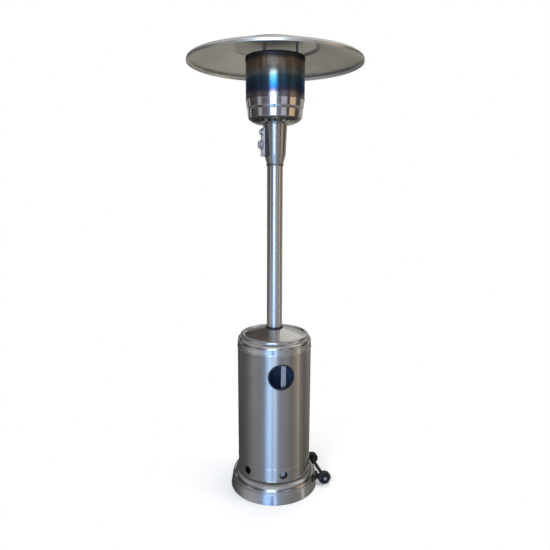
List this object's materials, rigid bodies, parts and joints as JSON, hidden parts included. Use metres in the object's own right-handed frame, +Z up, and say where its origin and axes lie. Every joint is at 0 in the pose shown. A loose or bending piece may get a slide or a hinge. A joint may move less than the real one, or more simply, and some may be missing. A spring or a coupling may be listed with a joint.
{
  "type": "radiant heater",
  "caption": "Free-standing gas radiant heater: bell base with wheels, lift-up tank housing, pole, control head, perforated emitter and a wide round reflector.",
  "frame": {"origin": "middle of the base's underside, on the floor", "axes": "+Z up along the pole, -Y towards the control panel, +Y towards the wheels, hand holes along X"},
  "size_m": [0.813, 0.813, 2.1856],
  "materials": {
    "brushed_steel": "brushed stainless steel sheet",
    "polished_steel": "polished stainless steel",
    "zinc": "zinc-plated steel",
    "heat_steel": "heat-tinted stainless steel",
    "reflector_aluminium": "spun aluminium",
    "black_plastic": "moulded black plastic",
    "black_rubber": "black rubber edging",
    "silver_plastic": "silver-coated plastic",
    "brass": "machined brass",
    "ceramic": "glazed ceramic and sleeved lead",
    "black_paint": "black painted steel"
  },
  "bodies": {
    "base": {"vent_ring": "brushed_steel", "pole": "brushed_steel", "head_housing": "brushed_steel", "control_box": "brushed_steel", "face_plate": "brushed_steel", "pole_flange": "brushed_steel", "base_shell": "polished_steel", "burner_bowl": "polished_steel", "strut_1": "zinc", "strut_2": "zinc", "strut_3": "zinc", "strut_foot_bolts": "zinc", "strut_foot_nuts": "zinc", "strut_top_bolts": "zinc", "strut_top_nuts": "zinc", "pole_plate": "zinc", "flange_bolts": "zinc", "flange_nuts": "zinc", "head_screws": "zinc", "face_screws": "zinc", "valve_bracket": "zinc", "bowl_screws": "zinc", "post_nuts": "zinc", "reflector_washers": "zinc", "wing_nuts": "zinc", "bracket_bolts": "zinc", "axle_caps": "zinc", "emitter_screen": "heat_steel", "emitter_cap": "heat_steel", "burner_pan": "heat_steel", "burner_head": "heat_steel", "mixing_tube": "heat_steel", "pilot_bracket": "heat_steel", "pilot_burner": "heat_steel", "reflector_post_1": "heat_steel", "reflector_post_2": "heat_steel", "reflector_post_3": "heat_steel", "reflector": "reflector_aluminium", "igniter_body": "black_plastic", "tilt_switch": "black_plastic", "hose_grommet": "black_rubber", "igniter_bezel": "silver_plastic", "gas_valve": "brass", "inlet_union": "brass", "gas_injector": "brass", "pilot_tube": "brass", "thermocouple": "brass", "spark_electrode": "ceramic", "wheel_bracket": "black_paint", "wheel_axle": "black_paint"},
    "tank_cover": {"cover_shell": "brushed_steel", "cover_top": "polished_steel", "right_hand_hole_trim": "black_rubber", "left_hand_hole_trim": "black_rubber"},
    "knob_push": {"spindle_washer": "zinc"},
    "control_knob": {"control_knob": "silver_plastic", "valve_spindle": "zinc"},
    "igniter_button": {"igniter_button": "silver_plastic"},
    "left_wheel": {"left_wheel": "black_plastic"},
    "right_wheel": {"right_wheel": "black_plastic"}
  },
  "joints": [
    {"name": "cover_lift", "type": "slide", "parent": "base", "child": "tank_cover", "axis": [0, 0, 1], "range_m": [0, 0.75]},
    {"name": "knob_push", "type": "slide", "parent": "base", "child": "knob_push", "axis": [0, 1, 0], "range_m": [0, 0.004], "stiffness_N_per_m": 600},
    {"name": "knob_turn", "type": "hinge", "parent": "knob_push", "child": "control_knob", "pos_m": [0, -0.066, 1.729], "axis": [0, -1, 0], "range_deg": [0, 210]},
    {"name": "igniter_press", "type": "slide", "parent": "base", "child": "igniter_button", "axis": [0, 1, 0], "range_m": [0, 0.006], "stiffness_N_per_m": 900},
    {"name": "left_wheel_spin", "type": "hinge", "parent": "base", "child": "left_wheel", "pos_m": [-0.1, 0.246, 0.038], "axis": [1, 0, 0], "continuous": true},
    {"name": "right_wheel_spin", "type": "hinge", "parent": "base", "child": "right_wheel", "pos_m": [0.1, 0.246, 0.038], "axis": [1, 0, 0], "continuous": true}
  ]
}
